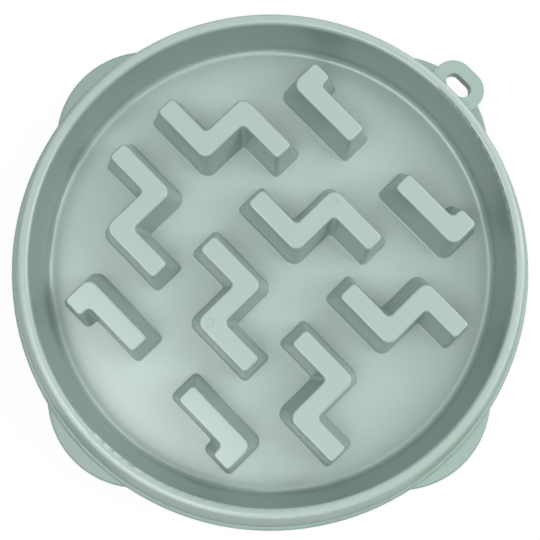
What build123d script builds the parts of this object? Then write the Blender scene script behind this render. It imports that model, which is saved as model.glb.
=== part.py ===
from build123d import *
import math
import os

# Slow feeder bowl, one moulding on four soft pads.
# Millimetres, +Z up. The origin is on the bowl's axis, in the plane that it stands on.
# +Y points to the hanging loop. The ridges run along X and Y.

# Heights
PAD_PROUD = 1.6          # the pads hold the skirt's edge this far above the table
FLOOR_GAP = 0.6          # the floor's underside above the skirt's edge
FLOOR_THICK = 2.4
INNER_DEPTH = 28.55      # from the floor to the top of the rim bead

# Wall and rim
RIM_INNER_RADIUS = 106.5 # at the edge of the bead
WALL_DRAFT = 3.0         # degrees
WALL = 2.2               # also the wall of the skirt and of the ridges
FLOOR_FILLET = 3.0
BEAD_WIDTH = 5.0
BEAD_HEIGHT = 5.15       # from its lip to its top
BEAD_CROWN = 0.6         # its middle above its edges
BEAD_INNER_ROUND = 2.2
BEAD_OUTER_ROUND = 1.4
BEAD_OVERHANG = 0.9      # the bead's lip past the top of the skirt

# Skirt and foot flange
SKIRT_FLARE = 9.9        # the skirt's foot past its top
FLANGE_WIDTH = 2.0       # past the skirt's foot
FLANGE_HEIGHT = 3.2
FLANGE_ROUND = 1.3
HOLLOW_NECK = 2.0        # the hollow between wall and skirt narrows to this at its top

# Lobes of the flange
LOBE_COUNT = 4
LOBE_LENGTH = 6.55       # past the flange
LOBE_RADIUS = 43.0
LOBE_HEIGHT = 2.2
LOBE_ROUND = 1.4

# Hanging loop and the notch under it
LOOP_SHIFT = 1.55        # the loop's middle from the plane through the bowl's axis
LOOP_LENGTH = 14.4       # past the bead
LOOP_WIDTH = 25.2
LOOP_CORNER = 9.6
LOOP_THICK = 4.9
LOOP_DROP = 4.15         # the loop's top below the bead's
LOOP_ROUND = 0.35
SLOT_LENGTH = 12.6
SLOT_WIDTH = 7.1
NOTCH_INSET = 0.4        # the notch inside each side of the loop
NOTCH_ROUND = 0.4

# Ridges, with sizes at their tops
RIDGE_HEIGHT = 20.6
RIDGE_DRAFT = 9.5        # degrees
RIDGE_TOP_THICK = 2.4
RIDGE_WIDTH = 9.25
RIDGE_ROUND = 1.2        # along the top edges
ELBOW_RADIUS = 4.8
END_RADIUS = 2.2
INSIDE_RADIUS = 2.0      # inside an elbow
FOOT_ROUND = 0.8         # where a ridge meets the floor
HOLLOW_RADIUS = 1.0      # at the corners of a ridge's hollow

# Zig-zag ridges, three in each of two rows
ZIGZAG_PITCH = 58.8
ZIGZAG_NEAR = 15.0       # the near arm's centre line from the bowl's middle
ZIGZAG_FAR = 38.9        # the far arm's centre line
ZIGZAG_ARM = 26.8        # from the cross arm's centre line to an arm's end
ZIGZAG_LAST_ARM = 22.8   # the same for the far arm nearest +X

# Hooked ridges, two on each side
HOOK_ROW = 68.0          # the long arm's centre line from the bowl's middle
HOOK_START = 14.45
HOOK_END = 52.15
HOOK_WIDTH = 9.85
HOOK_DEPTH = 5.7         # the hook past the long arm's side

# Gate marks on the tops of the middle zig-zags
GATE_DIAMETER = 3.6
GATE_DEPTH = 0.3
NUB_DIAMETER = 1.4
NUB_HEIGHT = 0.15

# Foot pads
PAD_DIAMETER = 17.0
PAD_INSET = 11.0         # from the wall's foot to the pad's middle
PAD_ROUND = 0.6
PAD_CLEARANCE = 0.2
PAD_RING_WALL = 1.4
PAD_RING_HEIGHT = 0.8

# Heights that follow
SKIRT_EDGE = PAD_PROUD
FLOOR_UNDER = SKIRT_EDGE + FLOOR_GAP
FLOOR_TOP = FLOOR_UNDER + FLOOR_THICK
RIM_TOP = FLOOR_TOP + INNER_DEPTH
RIM_EDGE = RIM_TOP - BEAD_CROWN
BEAD_LIP = RIM_TOP - BEAD_HEIGHT
FLANGE_TOP = SKIRT_EDGE + FLANGE_HEIGHT
LOOP_UNDER = RIM_TOP - LOOP_DROP - LOOP_THICK
RIDGE_CROWN = FLOOR_TOP + RIDGE_HEIGHT

# Radii, widths and slopes that follow
BEAD_OUTER_RADIUS = RIM_INNER_RADIUS + BEAD_WIDTH
SKIRT_TOP_RADIUS = BEAD_OUTER_RADIUS - BEAD_OVERHANG
SKIRT_FOOT_RADIUS = SKIRT_TOP_RADIUS + SKIRT_FLARE
FLANGE_RADIUS = SKIRT_FOOT_RADIUS + FLANGE_WIDTH
LOBE_REACH = FLANGE_RADIUS + LOBE_LENGTH
LOOP_REACH = BEAD_OUTER_RADIUS + LOOP_LENGTH
NOTCH_WIDTH = LOOP_WIDTH - 2 * NOTCH_INSET
WALL_LEAN = math.tan(math.radians(WALL_DRAFT))
RIDGE_LEAN = math.tan(math.radians(RIDGE_DRAFT))
SKIRT_LEAN = SKIRT_FLARE / (BEAD_LIP - FLANGE_TOP)

TOUCH = 0.01             # heights closer than this count as the same
ON_BASE = (Align.CENTER, Align.CENTER, Align.MIN)
IN_FRONT = (Align.CENTER, Align.MIN, Align.MIN)


def wall_inside(z):
    return RIM_INNER_RADIUS - (RIM_EDGE - z) * WALL_LEAN


def wall_outside(z):
    return wall_inside(z) + WALL


def skirt_outside(z):
    return SKIRT_TOP_RADIUS + (BEAD_LIP - z) * SKIRT_LEAN


def skirt_inside(z):
    return skirt_outside(z) - WALL * math.hypot(1, SKIRT_LEAN)


def hollow_top():
    # The height at which the hollow between wall and skirt has narrowed to its neck
    at_lip = skirt_inside(BEAD_LIP) - wall_outside(BEAD_LIP)
    return BEAD_LIP - (HOLLOW_NECK - at_lip) / (SKIRT_LEAN + WALL_LEAN)


def turned(section):
    return revolve(Plane.XZ * section, Axis.Z)


def solid_body():
    # Wall, bead, skirt and foot flange, turned as one section that is still full below the floor
    floor_corner = (wall_inside(FLOOR_TOP), FLOOR_TOP)
    flange_corner = (FLANGE_RADIUS, FLANGE_TOP)
    inner_edge = (RIM_INNER_RADIUS, RIM_EDGE)
    outer_edge = (BEAD_OUTER_RADIUS, RIM_EDGE)
    outside = Polyline(
        (0, FLOOR_TOP),
        (0, SKIRT_EDGE),
        (FLANGE_RADIUS, SKIRT_EDGE),
        flange_corner,
        (SKIRT_FOOT_RADIUS, FLANGE_TOP),
        (SKIRT_TOP_RADIUS, BEAD_LIP),
        (BEAD_OUTER_RADIUS, BEAD_LIP + BEAD_OVERHANG),
        outer_edge,
    )
    bead = ThreePointArc(outer_edge, (RIM_INNER_RADIUS + BEAD_WIDTH / 2, RIM_TOP), inner_edge)
    inside = Polyline(inner_edge, floor_corner, (0, FLOOR_TOP))
    section = make_face(outside + bead + inside)
    rounds = (
        (floor_corner, FLOOR_FILLET),
        (flange_corner, FLANGE_ROUND),
        (inner_edge, BEAD_INNER_ROUND),
        (outer_edge, BEAD_OUTER_ROUND),
    )
    for place, radius in rounds:
        corner = section.vertices().sort_by_distance(Vector(*place))[0]
        section = fillet(corner, radius)
    return turned(section)


def lobes():
    plate = Pos(LOBE_REACH - LOBE_RADIUS, 0, SKIRT_EDGE) * Cylinder(LOBE_RADIUS, LOBE_HEIGHT, align=ON_BASE)
    plate = fillet(plate.edges().filter_by(GeomType.CIRCLE).sort_by(Axis.Z)[-1], LOBE_ROUND)
    return PolarLocations(0, LOBE_COUNT) * plate


def bay(width, inset, height):
    # The space beside the wall, in the loop's direction, starting inside the wall's outer face
    low, high = wall_outside(0) - inset, wall_outside(height) - inset
    core = turned(make_face(Polyline((0, 0), (low, 0), (high, height), (0, height), close=True)))
    return Pos(LOOP_SHIFT, 0, 0) * Box(width, LOBE_REACH, height, align=IN_FRONT) - core


def space_below():
    # Everything under the floor, with the hollow between wall and skirt, which stops at the notch's cheeks
    neck = hollow_top()
    points = [
        (0, 0),
        (0, FLOOR_UNDER),
        (wall_outside(FLOOR_UNDER), FLOOR_UNDER),
        (wall_outside(neck), neck),
        (skirt_inside(neck), neck),
        (skirt_inside(0), 0),
    ]
    space = turned(make_face(Polyline(*points, close=True)))
    return space - bay(NOTCH_WIDTH + 2 * WALL, WALL / 2, BEAD_LIP)


def loop_notch():
    # Skirt and lobe are open under the loop, so that a mould can draw downwards
    return bay(NOTCH_WIDTH, 0, LOOP_UNDER)


def notch_edges(body):
    # The edges of skirt, flange and lobe along the notch's two flanks
    nearer_than = NOTCH_WIDTH / 2 + WALL / 2
    upright = body.faces().filter_by(Axis.X)
    flanks = upright.filter_by(lambda face: abs(face.center().X - LOOP_SHIFT) < nearer_than)
    edges = []
    for edge in flanks.edges():
        middle = edge @ 0.5
        between = SKIRT_EDGE + TOUCH < middle.Z < LOOP_UNDER - TOUCH
        if between and middle.Y > skirt_inside(middle.Z):
            edges.append(edge)
    return edges


def loop():
    tab = RectangleRounded(LOOP_WIDTH, 2 * LOOP_REACH, LOOP_CORNER)
    slot = Pos(0, LOOP_REACH - LOOP_CORNER) * SlotOverall(SLOT_LENGTH, SLOT_WIDTH)
    body = extrude(tab - slot, LOOP_THICK)
    level = body.faces().filter_by(Axis.Z)
    body = fillet(level.edges(), LOOP_ROUND)
    root = wall_inside(LOOP_UNDER) + WALL / 2
    body = body & (Pos(0, root, 0) * Box(LOOP_WIDTH, LOOP_REACH - root, LOOP_THICK, align=IN_FRONT))
    return Pos(LOOP_SHIFT, 0, LOOP_UNDER) * body


def zigzag(middle, far_arm, grow):
    # The corners of a zig-zag's outline, moved outwards from the one at its top, and what each corner is
    half = RIDGE_WIDTH / 2 + grow
    left, right = middle - half, middle + half
    start, end = middle - ZIGZAG_ARM - grow, middle + far_arm + grow
    return [
        (start, ZIGZAG_NEAR - half, "end"),
        (right, ZIGZAG_NEAR - half, "elbow"),
        (right, ZIGZAG_FAR - half, "inside"),
        (end, ZIGZAG_FAR - half, "end"),
        (end, ZIGZAG_FAR + half, "end"),
        (left, ZIGZAG_FAR + half, "elbow"),
        (left, ZIGZAG_NEAR + half, "inside"),
        (start, ZIGZAG_NEAR + half, "end"),
    ]


def hooked(grow):
    # The same for the hooked ridge towards +X
    half = RIDGE_WIDTH / 2 + grow
    start, end = HOOK_START - grow, HOOK_END + grow
    hook_start = HOOK_END - HOOK_WIDTH - grow
    shoulder = HOOK_ROW + half
    return [
        (start, HOOK_ROW - half, "end"),
        (end, HOOK_ROW - half, "elbow"),
        (end, shoulder + HOOK_DEPTH, "end"),
        (hook_start, shoulder + HOOK_DEPTH, "end"),
        (hook_start, shoulder, "inside"),
        (start, shoulder, "end"),
    ]


def rising_edge(body, place):
    rising = body.edges().filter_by(lambda edge: abs((edge @ 1).Z - (edge @ 0).Z) > TOUCH)
    return rising.sort_by_distance(Vector(*place))[0]


def drafted(outline, low, high, inset, radii):
    # An outline that shrinks with height by the draft, rounded along the edge that rises from each corner
    def level(z):
        return outline((RIDGE_CROWN - z) * RIDGE_LEAN - inset)

    def sheet(z):
        return Pos(0, 0, z) * make_face(Polyline(*[(x, y) for x, y, kind in level(z)], close=True))

    body = loft([sheet(low), sheet(high)], ruled=True)
    for wanted, radius in radii.items():
        edges = [rising_edge(body, (x, y, low)) for x, y, kind in level(low) if kind == wanted]
        body = fillet(edges, radius)
    return body


def half_set(low, high, inset, radii):
    # The ridges of the +Y half
    outlines = [
        lambda grow: zigzag(-ZIGZAG_PITCH, ZIGZAG_ARM, grow),
        lambda grow: zigzag(0, ZIGZAG_ARM, grow),
        lambda grow: zigzag(ZIGZAG_PITCH, ZIGZAG_LAST_ARM, grow),
        hooked,
    ]
    bodies = [drafted(outline, low, high, inset, radii) for outline in outlines]
    return bodies + [mirror(bodies[-1], about=Plane.YZ)]


def ridges():
    low = (FLOOR_UNDER + FLOOR_TOP) / 2
    radii = {"elbow": ELBOW_RADIUS, "end": END_RADIUS, "inside": INSIDE_RADIUS}
    bodies = []
    for body in half_set(low, RIDGE_CROWN, 0, radii):
        body = fillet(body.faces().sort_by(Axis.Z)[-1].edges(), RIDGE_ROUND)
        bodies += [body, mirror(body, about=Plane.XZ)]
    return bodies


def ridge_feet(body):
    floor = body.faces().filter_by(Axis.Z).sort_by(lambda face: abs(face.center().Z - FLOOR_TOP))[0]
    return [edge for wire in floor.inner_wires() for edge in wire.edges()]


def ridge_hollows():
    skin = WALL * math.hypot(1, RIDGE_LEAN)
    radii = {kind: HOLLOW_RADIUS for kind in ("elbow", "end", "inside")}
    bodies = []
    for body in half_set(SKIRT_EDGE, RIDGE_CROWN - RIDGE_TOP_THICK, skin, radii):
        bodies += [body, mirror(body, about=Plane.XZ)]
    return bodies


def gate_marks():
    # A round dimple with the broken stub of the gate in it
    low = RIDGE_CROWN - GATE_DEPTH
    dimple = Cylinder(GATE_DIAMETER / 2, GATE_DEPTH, align=ON_BASE) - Cylinder(NUB_DIAMETER / 2, NUB_HEIGHT, align=ON_BASE)
    return [Pos(0, side * ZIGZAG_FAR, low) * dimple for side in (-1, 1)]


def pad_places():
    return PolarLocations(wall_inside(FLOOR_TOP) - PAD_INSET, LOBE_COUNT)


def pad_rings():
    inner = PAD_DIAMETER / 2 + PAD_CLEARANCE
    ring = Circle(inner + PAD_RING_WALL) - Circle(inner)
    foot = FLOOR_UNDER - PAD_RING_HEIGHT
    return pad_places() * (Pos(0, 0, foot) * extrude(ring, PAD_RING_HEIGHT + FLOOR_THICK / 2))


def bowl():
    body = solid_body() + lobes() - space_below() - loop_notch()
    body = fillet(notch_edges(body), NOTCH_ROUND) + loop() + ridges()
    body = fillet(ridge_feet(body), FOOT_ROUND)
    return body - ridge_hollows() - gate_marks() + pad_rings()


def foot_pad():
    pad = Cylinder(PAD_DIAMETER / 2, FLOOR_UNDER, align=ON_BASE)
    return fillet(pad.edges().filter_by(GeomType.CIRCLE).sort_by(Axis.Z)[0], PAD_ROUND)


def main():
    os.makedirs("parts", exist_ok=True)
    export_step(bowl(), "parts/bowl.step")
    pad = foot_pad()
    for number, place in enumerate(pad_places(), 1):
        export_step(place * pad, f"parts/foot_pad_{number}.step")


main()
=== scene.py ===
import math

import bmesh
import bpy
from bpy.props import FloatProperty, FloatVectorProperty, IntProperty, PointerProperty
from mathutils import Matrix, Vector


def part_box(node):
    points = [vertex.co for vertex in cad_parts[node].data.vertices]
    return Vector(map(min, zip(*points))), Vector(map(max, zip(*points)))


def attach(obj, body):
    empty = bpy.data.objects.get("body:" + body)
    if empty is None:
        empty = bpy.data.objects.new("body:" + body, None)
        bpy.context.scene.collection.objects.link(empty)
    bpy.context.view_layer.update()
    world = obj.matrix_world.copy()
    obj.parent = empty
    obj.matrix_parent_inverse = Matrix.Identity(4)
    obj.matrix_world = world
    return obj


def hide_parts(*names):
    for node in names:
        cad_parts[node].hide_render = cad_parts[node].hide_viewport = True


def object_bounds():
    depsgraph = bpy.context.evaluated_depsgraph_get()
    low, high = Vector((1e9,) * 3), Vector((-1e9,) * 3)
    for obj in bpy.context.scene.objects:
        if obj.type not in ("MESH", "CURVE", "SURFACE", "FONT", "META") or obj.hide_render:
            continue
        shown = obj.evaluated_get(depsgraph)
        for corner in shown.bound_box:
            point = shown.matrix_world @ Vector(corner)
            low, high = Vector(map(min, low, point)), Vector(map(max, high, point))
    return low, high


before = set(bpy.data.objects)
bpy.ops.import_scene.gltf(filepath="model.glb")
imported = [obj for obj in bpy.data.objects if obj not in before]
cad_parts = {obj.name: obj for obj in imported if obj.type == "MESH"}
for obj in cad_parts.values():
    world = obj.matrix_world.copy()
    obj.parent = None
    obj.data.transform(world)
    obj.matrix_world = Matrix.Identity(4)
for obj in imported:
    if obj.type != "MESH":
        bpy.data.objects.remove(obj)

bl_info = {
    "name": "Slow feeder bowl",
    "version": (1, 0, 0),
    "blender": (4, 5, 0),
    "location": "View3D > Sidebar > Feeder bowl",
    "description": "Finishes a moulded slow feeder bowl, its soft pads and the studio that it stands in",
    "category": "Object",
}

CAD_BOX = [list(corner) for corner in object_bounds()]
PAD_NODES = sorted(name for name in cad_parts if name.startswith("foot_pad"))
PAD_LOW, PAD_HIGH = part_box(PAD_NODES[0])

WELD = 0.000001  # points that are closer than this become one
NORMAL_WEIGHT = 80
GATE_SEGMENTS = 3
PAD_SEGMENTS = 5
FLOOR_SEGMENTS = 96

POLYPROPYLENE_IOR = 1.49
RUBBER_IOR = 1.52
CLOUD_DETAIL = 3.0
CLOUD_ROUGHNESS = 0.55
DUST_DETAIL = 4.0
GRAIN_DETAIL = 2.0
GRAIN_ROUGHNESS = 0.6
PAPER_ROUGHNESS = 0.9

SENSOR_WIDTH = 36
NEAREST_SEEN = 0.01


def linear(code):
    """Turns an sRGB hex code into linear RGB with alpha."""
    values = [int(code[place:place + 2], 16) / 255 for place in (1, 3, 5)]
    return [v / 12.92 if v <= 0.04045 else ((v + 0.055) / 1.055) ** 2.4 for v in values] + [1.0]


WHITE = linear("#FFFFFF")


def length(name, description, default):
    """A length in metres that a user may change."""
    return FloatProperty(
        name=name, description=description, default=default, precision=5, subtype="DISTANCE", unit="LENGTH")


def angle(name, description, default):
    """An angle that a user may change."""
    return FloatProperty(
        name=name, description=description, default=default, subtype="ANGLE", unit="ROTATION")


def share(name, description, default):
    """A share from none to all that a user may change."""
    return FloatProperty(
        name=name, description=description, default=default, min=0, max=1, subtype="FACTOR")


def colour(name, description, code):
    """A colour that a user may change."""
    return FloatVectorProperty(
        name=name, description=description, default=linear(code), size=4, min=0, max=1, subtype="COLOR")


def position(name, description, default):
    """A place in the bowl's frame that a user may change."""
    return FloatVectorProperty(
        name=name, description=description, default=default, subtype="TRANSLATION", unit="LENGTH")


def wattage(name, description, default):
    """A lamp's power that a user may change."""
    return FloatProperty(
        name=name, description=description, default=default, min=0, subtype="POWER", unit="POWER")


def count(name, description, default, least, most):
    """A number of like things that a user may change."""
    return IntProperty(name=name, description=description, default=default, min=least, max=most)


class MouldingFinish(bpy.types.PropertyGroup):
    """The bowl moulding's surface."""
    plastic: colour("Plastic", "The plastic's own colour on the polished inner side", "#90A39B")
    # Painted shade: the matt colour is darker than the plastic to stand in for the weaker sheen and dimmer
    # light on the outer side; it begins at the parting line below.
    matt: colour("Matt plastic", "The plastic's colour on the etched outer side", "#80978D")
    parting: length(
        "Parting line", "Distance from the axis at which the polished side meets the etched side", 0.1114)
    parting_blend: length(
        "Parting blend", "Half the width over which one finish turns into the other", 0.0004)
    cloud: length("Cloud size", "Spacing of the faint clouds in the pigment", 0.035)
    cloud_depth: share("Cloud depth", "How far the clouds darken the pigment", 0.06)
    grain: length("Grain size", "Spacing of the satin grain that the mould leaves", 0.0011)
    grain_depth: length("Grain depth", "Depth of the satin grain", 0.000008)
    grain_strength: share("Grain strength", "How much of the satin grain's relief shows", 0.5)
    roughness: share("Roughness", "Roughness of the polished inner side", 0.26)
    outer_roughness: share("Outer roughness", "Roughness of the etched outer side", 0.45)
    specular: share("Specular level", "Strength of the plastic's reflections", 0.8)
    ridge_top: length("Ridge tops", "Height of the ridges' tops", 0.0252)
    ridge_reach: length("Ridge reach", "The ridges stand within this distance of the axis", 0.1)
    gate_reach: length("Gate reach", "Distance of the two gate marks from the axis, along Y", 0.0389)
    gate_radius: length("Gate radius", "Radius of a gate mark's dimple", 0.0018)
    gate_round: length("Gate round", "Radius of the dimple's rim", 0.00025)
    near: length("Near", "A point this close to a place counts as on it", 0.00002)
    flat: angle("Flat angle", "Faces that meet at less than this become one", math.radians(0.05))
    crease: angle("Crease angle", "Edges sharper than this stay crisp", math.radians(32))


class PadFinish(bpy.types.PropertyGroup):
    """The soft pads' form and surface."""
    rubber: colour("Rubber", "The rubber's colour", "#6F7773")
    worn: colour("Worn rubber", "The rubber's colour where it is dusty", "#848B87")
    round: length("Edge round", "Radius of the pad's lower edge", 0.0006)
    groove_width: length("Groove width", "Width of a grip groove in the underside", 0.0008)
    groove_depth: length("Groove depth", "Depth of a grip groove in the underside", 0.0004)
    grooves: count("Grooves", "Number of grip grooves in the underside", 3, 0, 4)
    steps: count("Steps", "Steps round a pad", 72, 12, 180)
    crease: angle("Crease angle", "Edges sharper than this stay crisp", math.radians(35))
    grain: length("Grain size", "Spacing of the rubber's matt grain", 0.0006)
    grain_depth: length("Grain depth", "Depth of the matt grain", 0.00002)
    grain_strength: share("Grain strength", "How much of the matt grain's relief shows", 0.6)
    patches: count("Dust patches", "Number of dusty patches across a pad", 6, 1, 40)
    dust_start: share("Dust start", "Level of the patches at which the dust begins to show", 0.4)
    dust_full: share("Dust full", "Level of the patches at which the dust shows in full", 0.75)
    roughness: share("Roughness", "Roughness of the clean rubber", 0.72)
    worn_roughness: share("Worn roughness", "Roughness of the dusty rubber", 0.88)
    specular: share("Specular level", "Strength of the rubber's reflections", 0.4)


class StudioSet(bpy.types.PropertyGroup):
    """The studio, its lights and its camera."""
    floor: colour("Floor", "The floor's colour", "#F3F3F2")
    floor_radius: length("Floor radius", "Radius of the floor", 4.0)
    floor_white: share("Floor white", "Share of plain white in what the camera sees of the floor", 0.88)
    camera_place: position("Camera place", "Where the camera stands", (0.01992, -0.0299, 0.37814))
    camera_turn: angle("Camera turn", "The camera's turn about the bowl's axis", math.radians(45) + 0.0133)
    camera_pitch: angle("Camera pitch", "The camera's tilt up from straight down", 0.0887)
    camera_lean: angle("Camera lean", "The camera's tilt to the side", -0.0181)
    camera_lens: FloatProperty(
        name="Lens", description="Focal length, in millimetres on a 36 mm sensor", default=52.869,
        subtype="DISTANCE_CAMERA")
    top_place: position("Top light place", "Where the overhead softbox hangs", (0.0, 0.0, 1.05))
    top_size: length("Top light length", "Length of the overhead softbox", 2.0)
    top_across: length("Top light width", "Width of the overhead softbox", 2.0)
    top_power: wattage("Top light power", "Power of the overhead softbox", 13.8)
    side_place: position("Side light place", "Where the side softbox stands", (0.669, 0.669, 0.739))
    side_size: length("Side light length", "Length of the side softbox", 0.6)
    side_across: length("Side light width", "Width of the side softbox", 0.6)
    side_power: wattage("Side light power", "Power of the side softbox", 6.0)
    back_place: position("Back light place", "Where the back softbox stands", (0.0, 0.946, 0.739))
    back_size: length("Back light length", "Length of the back softbox", 0.6)
    back_across: length("Back light width", "Width of the back softbox", 0.3)
    back_power: wattage("Back light power", "Power of the back softbox", 3.0)
    front_place: position("Front light place", "Where the front softbox stands", (0.0, -0.946, 0.739))
    front_size: length("Front light length", "Length of the front softbox", 0.6)
    front_across: length("Front light width", "Width of the front softbox", 0.6)
    front_power: wattage("Front light power", "Power of the front softbox", 1.0)
    edge_place: position(
        "Edge light place", "Where the strip light that draws the ridges' edges hangs", (0.0, -0.412, 1.02))
    edge_size: length("Edge light length", "Length of the strip light", 0.7)
    edge_across: length("Edge light width", "Width of the strip light", 0.4)
    edge_power: wattage("Edge light power", "Power of the strip light", 4.0)
    ambient: share("Ambient", "Strength of the even light from all round", 0.05)


def add_node(tree, kind, values=None, links=None, **settings):
    """Adds a node with its settings, input values and links."""
    made = tree.nodes.new(kind)
    for name, value in settings.items():
        setattr(made, name, value)
    for name, value in (values or {}).items():
        made.inputs[name].default_value = value
    for name, output in (links or {}).items():
        tree.links.new(output, made.inputs[name])
    return made


def new_material(name):
    """Returns a material with an empty node tree."""
    material = bpy.data.materials.new(name)
    material.use_nodes = True
    material.node_tree.nodes.clear()
    return material


# Injection-moulded polypropylene: an opaque skin that is satin inside, where the mould is polished,
# and duller outside the rim, where the mould carries an etch. Outside the rim its colour is also darker:
# painted shade for the weaker sheen and dimmer light there. The clouds in its pigment hardly show.
# The real grain is near 0.1 mm and too fine to show, so it is drawn about ten times coarser.
def moulded_polypropylene(finish):
    material = new_material("moulded_polypropylene_sage")
    tree = material.node_tree
    place = add_node(tree, "ShaderNodeTexCoord").outputs["Object"]
    level = add_node(tree, "ShaderNodeVectorMath", {1: (1, 1, 0)}, {0: place}, operation="MULTIPLY")
    reach = add_node(tree, "ShaderNodeVectorMath", links={0: level.outputs["Vector"]}, operation="LENGTH")
    inner = finish.parting - finish.parting_blend
    outer = finish.parting + finish.parting_blend
    # Mask of the outer side past the parting line: it gives the duller etch there and the painted shade
    # below.
    etched_and_painted_shade = add_node(
        tree, "ShaderNodeMapRange", {"From Min": inner, "From Max": outer},
        {"Value": reach.outputs["Value"]}).outputs["Result"]
    # Painted shade: the colour darkens from the plastic to the matt colour outside the rim, standing in for
    # the weaker sheen and dimmer light on the skirt, loop and lobes.
    tone_and_painted_shade = add_node(
        tree, "ShaderNodeMixRGB", {"Color1": finish.plastic, "Color2": finish.matt}, {"Fac": etched_and_painted_shade})
    cloud = add_node(
        tree, "ShaderNodeTexNoise",
        {"Scale": 1 / finish.cloud, "Detail": CLOUD_DETAIL, "Roughness": CLOUD_ROUGHNESS}, {"Vector": place})
    depth = add_node(
        tree, "ShaderNodeMapRange", {"To Min": 1 - finish.cloud_depth, "To Max": 1.0},
        {"Value": cloud.outputs["Fac"]})
    pigment = add_node(
        tree, "ShaderNodeVectorMath", links={0: tone_and_painted_shade.outputs["Color"], "Scale": depth.outputs["Result"]},
        operation="SCALE")
    satin = add_node(
        tree, "ShaderNodeMapRange", {"To Min": finish.roughness, "To Max": finish.outer_roughness},
        {"Value": etched_and_painted_shade})
    grain = add_node(
        tree, "ShaderNodeTexNoise",
        {"Scale": 1 / finish.grain, "Detail": GRAIN_DETAIL, "Roughness": GRAIN_ROUGHNESS}, {"Vector": place})
    relief = add_node(
        tree, "ShaderNodeBump", {"Strength": finish.grain_strength, "Distance": finish.grain_depth},
        {"Height": grain.outputs["Fac"]})
    skin = add_node(
        tree, "ShaderNodeBsdfPrincipled", {"IOR": POLYPROPYLENE_IOR, "Specular IOR Level": finish.specular},
        {
            "Base Color": pigment.outputs["Vector"],
            "Roughness": satin.outputs["Result"],
            "Normal": relief.outputs["Normal"],
        })
    add_node(tree, "ShaderNodeOutputMaterial", links={"Surface": skin.outputs["BSDF"]})
    return material


# Moulded thermoplastic rubber: a matt grey that takes a little dust, with a dull fine grain. The
# real grain is near 0.1 mm and is drawn coarser so that it shows.
def moulded_rubber(finish):
    material = new_material("moulded_rubber_grey")
    tree = material.node_tree
    place = add_node(tree, "ShaderNodeTexCoord").outputs["Object"]
    width = PAD_HIGH[0] - PAD_LOW[0]
    dust = add_node(
        tree, "ShaderNodeTexNoise", {"Scale": finish.patches / width, "Detail": DUST_DETAIL},
        {"Vector": place})
    shade = add_node(tree, "ShaderNodeValToRGB", links={"Fac": dust.outputs["Fac"]})
    shade.color_ramp.elements[0].position = finish.dust_start
    shade.color_ramp.elements[0].color = finish.rubber
    shade.color_ramp.elements[1].position = finish.dust_full
    shade.color_ramp.elements[1].color = finish.worn
    grain = add_node(
        tree, "ShaderNodeTexNoise", {"Scale": 1 / finish.grain, "Detail": GRAIN_DETAIL}, {"Vector": place})
    relief = add_node(
        tree, "ShaderNodeBump", {"Strength": finish.grain_strength, "Distance": finish.grain_depth},
        {"Height": grain.outputs["Fac"]})
    dull = add_node(
        tree, "ShaderNodeMapRange", {"To Min": finish.roughness, "To Max": finish.worn_roughness},
        {"Value": dust.outputs["Fac"]})
    skin = add_node(
        tree, "ShaderNodeBsdfPrincipled", {"IOR": RUBBER_IOR, "Specular IOR Level": finish.specular},
        {
            "Base Color": shade.outputs["Color"],
            "Roughness": dull.outputs["Result"],
            "Normal": relief.outputs["Normal"],
        })
    add_node(tree, "ShaderNodeOutputMaterial", links={"Surface": skin.outputs["BSDF"]})
    return material


# Matt white studio paper: the camera sees it nearly white, and the bowl's shadow stays on it.
def studio_paper(studio):
    material = new_material("matt_studio_paper")
    tree = material.node_tree
    white = add_node(
        tree, "ShaderNodeMath", {1: studio.floor_white}, {0: seen_rays(tree)}, operation="MULTIPLY")
    paper = add_node(tree, "ShaderNodeBsdfDiffuse", {"Color": studio.floor, "Roughness": PAPER_ROUGHNESS})
    glow = add_node(tree, "ShaderNodeEmission", {"Color": WHITE, "Strength": 1.0})
    both = add_node(
        tree, "ShaderNodeMixShader",
        links={0: white.outputs["Value"], 1: paper.outputs["BSDF"], 2: glow.outputs["Emission"]})
    add_node(tree, "ShaderNodeOutputMaterial", links={"Surface": both.outputs["Shader"]})
    return material


def seen_rays(tree):
    """Returns a socket that is 1 for the rays that show a surface to the camera and 0 for the rest."""
    rays = add_node(tree, "ShaderNodeLightPath")
    direct = add_node(
        tree, "ShaderNodeMath", links={0: rays.outputs["Is Camera Ray"], 1: rays.outputs["Is Glossy Ray"]},
        operation="MAXIMUM")
    seen = add_node(
        tree, "ShaderNodeMath", links={0: direct.outputs["Value"], 1: rays.outputs["Is Transmission Ray"]},
        operation="MAXIMUM")
    return seen.outputs["Value"]


def new_object(name, data):
    """Links a new object for a mesh, a lamp or a camera to the scene."""
    made = bpy.data.objects.new(name, data)
    bpy.context.scene.collection.objects.link(made)
    return made


def new_piece(name, work, material, node):
    """Turns a bmesh into a finished piece that stands for a node of the frame."""
    mesh = bpy.data.meshes.new(name)
    work.to_mesh(mesh)
    work.free()
    mesh.materials.append(material)
    piece = new_object(name, mesh)
    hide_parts(node)
    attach(piece, "root")
    return piece


def set_creases(work, limit):
    """Shades a bmesh smooth and leaves its edges crisp past an angle."""
    for face in work.faces:
        face.smooth = True
        face.material_index = 0
    for edge in work.edges:
        edge.smooth = edge.calc_face_angle(math.pi) < limit


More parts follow.
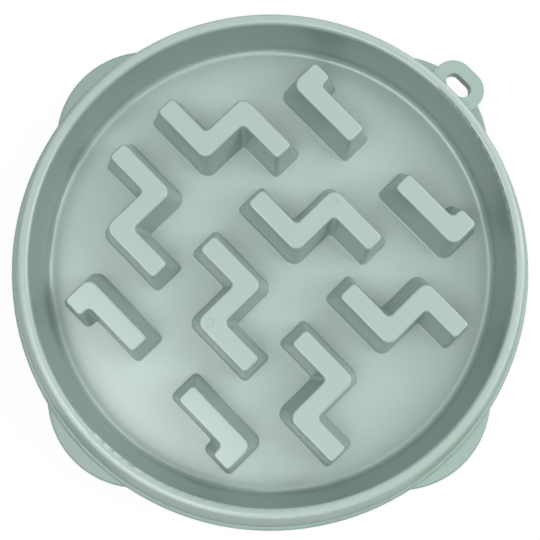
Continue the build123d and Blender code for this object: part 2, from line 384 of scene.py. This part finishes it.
class FEEDER_OT_moulding(bpy.types.Operator):
    """Finish the bowl moulding"""
    bl_idname = "feeder.moulding"
    bl_label = "Bowl moulding"

    def execute(self, context):
        finish = context.scene.feeder_moulding
        work = bmesh.new()
        work.from_mesh(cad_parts["bowl"].data)
        bmesh.ops.remove_doubles(work, verts=work.verts, dist=WELD)
        bmesh.ops.dissolve_degenerate(work, edges=work.edges, dist=WELD)
        self.ease_gates(work, finish)
        self.clear_tops(work, finish)
        set_creases(work, finish.crease)
        piece = new_piece("bowl_moulding", work, moulded_polypropylene(finish), "bowl")
        normals = piece.data.attributes.get("custom_normal")
        if normals:
            piece.data.attributes.remove(normals)
        weighted = piece.modifiers.new("even_normals", "WEIGHTED_NORMAL")
        weighted.keep_sharp = True
        weighted.weight = NORMAL_WEIGHT
        return {"FINISHED"}

    def top_points(self, work, finish):
        """Returns the points that lie on the ridges' flat tops."""
        return {
            vert for vert in work.verts
            if abs(vert.co.z - finish.ridge_top) < finish.near and vert.co.xy.length < finish.ridge_reach}

    def clear_tops(self, work, finish):
        """Joins the loose triangles on each ridge's flat top, so that it shades evenly."""
        on_top = self.top_points(work, finish)
        edges = [edge for edge in work.edges if on_top.issuperset(edge.verts)]
        bmesh.ops.dissolve_limit(
            work, angle_limit=finish.flat, verts=[], edges=edges, use_dissolve_boundaries=False)

    def ease_gates(self, work, finish):
        """Rounds the rims of the two gate marks on the ridges' tops."""
        on_rim = set()
        for vert in self.top_points(work, finish):
            reach = math.hypot(vert.co.x, abs(vert.co.y) - finish.gate_reach)
            if abs(reach - finish.gate_radius) < finish.near:
                on_rim.add(vert)
        rims = [edge for edge in work.edges if on_rim.issuperset(edge.verts)]
        if not rims:
            raise RuntimeError("The gate marks weren't found")
        bmesh.ops.bevel(
            work, geom=rims, offset=finish.gate_round, offset_type="OFFSET", affect="EDGES",
            segments=GATE_SEGMENTS, profile=0.5, material=-1)


class FEEDER_OT_pads(bpy.types.Operator):
    """Model the four soft pads under the bowl"""
    bl_idname = "feeder.pads"
    bl_label = "Soft pads"

    def execute(self, context):
        finish = context.scene.feeder_pads
        material = moulded_rubber(finish)
        for number, node in enumerate(PAD_NODES, start=1):
            low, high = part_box(node)
            work = self.pad(finish, (high[0] - low[0]) / 2, high[2] - low[2])
            centre = Vector(((low[0] + high[0]) / 2, (low[1] + high[1]) / 2, low[2]))
            bmesh.ops.translate(work, verts=work.verts, vec=centre)
            new_piece(f"soft_pad_{number}", work, material, node)
        return {"FINISHED"}

    def pad(self, finish, radius, height):
        """Spins a pad with a rounded lower edge and grip grooves round its axis."""
        outline = [(0.0, height), (radius, height), (radius, 0.0)]
        for turn in range(finish.grooves, 0, -1):
            middle = radius * turn / (finish.grooves + 1)
            outer = middle + finish.groove_width / 2
            inner = middle - finish.groove_width / 2
            deep = finish.groove_depth
            outline += [(outer, 0.0), (outer, deep), (inner, deep), (inner, 0.0)]
        outline.append((0.0, 0.0))
        work = bmesh.new()
        points = [work.verts.new((across, 0.0, up)) for across, up in outline]
        lines = [work.edges.new(pair) for pair in zip(points, points[1:])]
        bmesh.ops.spin(
            work, geom=points + lines, cent=(0, 0, 0), axis=(0, 0, 1), angle=math.tau, steps=finish.steps,
            use_merge=True)
        bmesh.ops.remove_doubles(work, verts=work.verts, dist=WELD)
        bmesh.ops.recalc_face_normals(work, faces=work.faces)
        rim = [edge for edge in work.edges if all(
            vert.co.z < finish.round and vert.co.xy.length > radius - finish.round for vert in edge.verts)]
        bmesh.ops.bevel(
            work, geom=rim, offset=finish.round, offset_type="OFFSET", affect="EDGES",
            segments=PAD_SEGMENTS, profile=0.5, material=-1)
        set_creases(work, finish.crease)
        return work


class FEEDER_OT_studio(bpy.types.Operator):
    """Set the floor, the soft lights and the camera"""
    bl_idname = "feeder.studio"
    bl_label = "Studio"

    def execute(self, context):
        studio = context.scene.feeder_studio
        self.floor(studio)
        self.surroundings(context.scene, studio)
        for name in ("top", "side", "back", "front", "edge"):
            values = [getattr(studio, f"{name}_{part}") for part in ("place", "size", "across", "power")]
            self.softbox(f"{name}_softbox", *values)
        self.camera(context.scene, studio)
        context.scene.view_settings.view_transform = "Standard"
        return {"FINISHED"}

    def floor(self, studio):
        """Lays the paper floor under the pads."""
        work = bmesh.new()
        bmesh.ops.create_circle(work, cap_ends=True, segments=FLOOR_SEGMENTS, radius=studio.floor_radius)
        bmesh.ops.translate(work, verts=work.verts, vec=(0, 0, CAD_BOX[0][2]))
        mesh = bpy.data.meshes.new("studio_floor")
        work.to_mesh(mesh)
        work.free()
        mesh.materials.append(studio_paper(studio))
        new_object("studio_floor", mesh)

    def surroundings(self, scene, studio):
        """Sets the white background and the even light that comes from it."""
        world = bpy.data.worlds.new("white_studio")
        world.use_nodes = True
        tree = world.node_tree
        tree.nodes.clear()
        level = add_node(
            tree, "ShaderNodeMapRange", {"To Min": studio.ambient, "To Max": 1.0}, {"Value": seen_rays(tree)})
        light = add_node(
            tree, "ShaderNodeBackground", {"Color": WHITE}, {"Strength": level.outputs["Result"]})
        add_node(tree, "ShaderNodeOutputWorld", links={"Surface": light.outputs["Background"]})
        scene.world = world

    def softbox(self, name, place, size, across, power):
        """Hangs a softbox that faces the bowl."""
        lamp = bpy.data.lights.new(name, "AREA")
        lamp.shape = "RECTANGLE"
        lamp.size = size
        lamp.size_y = across
        lamp.energy = power
        made = new_object(name, lamp)
        made.visible_camera = False
        made.location = place
        made.rotation_euler = Vector(place).to_track_quat("Z", "Y").to_euler()

    def camera(self, scene, studio):
        """Stands the camera where the photo was taken from."""
        lens = bpy.data.cameras.new("photo_camera")
        lens.sensor_fit = "HORIZONTAL"
        lens.sensor_width = SENSOR_WIDTH
        lens.lens = studio.camera_lens
        lens.clip_start = NEAREST_SEEN
        made = new_object("photo_camera", lens)
        turn = Matrix.Rotation(studio.camera_turn, 4, "Z")
        pitch = Matrix.Rotation(studio.camera_pitch, 4, "X")
        lean = Matrix.Rotation(studio.camera_lean, 4, "Y")
        made.matrix_world = Matrix.Translation(studio.camera_place) @ turn @ pitch @ lean
        scene.camera = made


class FEEDER_PT_sidebar(bpy.types.Panel):
    """The bowl's pieces and their sizes"""
    bl_label = "Slow feeder bowl"
    bl_space_type = "VIEW_3D"
    bl_region_type = "UI"
    bl_category = "Feeder bowl"

    def draw(self, context):
        groups = (
            (FEEDER_OT_moulding, context.scene.feeder_moulding),
            (FEEDER_OT_pads, context.scene.feeder_pads),
            (FEEDER_OT_studio, context.scene.feeder_studio),
        )
        for operator, group in groups:
            box = self.layout.box()
            box.operator(operator.bl_idname)
            for name in group.bl_rna.properties.keys():
                if name not in ("rna_type", "name"):
                    box.prop(group, name)


CLASSES = (
    MouldingFinish, PadFinish, StudioSet,
    FEEDER_OT_moulding, FEEDER_OT_pads, FEEDER_OT_studio, FEEDER_PT_sidebar)


def register():
    for made in CLASSES:
        bpy.utils.register_class(made)
    bpy.types.Scene.feeder_moulding = PointerProperty(type=MouldingFinish)
    bpy.types.Scene.feeder_pads = PointerProperty(type=PadFinish)
    bpy.types.Scene.feeder_studio = PointerProperty(type=StudioSet)


def unregister():
    del bpy.types.Scene.feeder_studio
    del bpy.types.Scene.feeder_pads
    del bpy.types.Scene.feeder_moulding
    for made in reversed(CLASSES):
        bpy.utils.unregister_class(made)


def main():
    register()
    bpy.ops.feeder.moulding()
    bpy.ops.feeder.pads()
    bpy.ops.feeder.studio()
    bpy.context.view_layer.update()


if __name__ == "__main__":
    main()
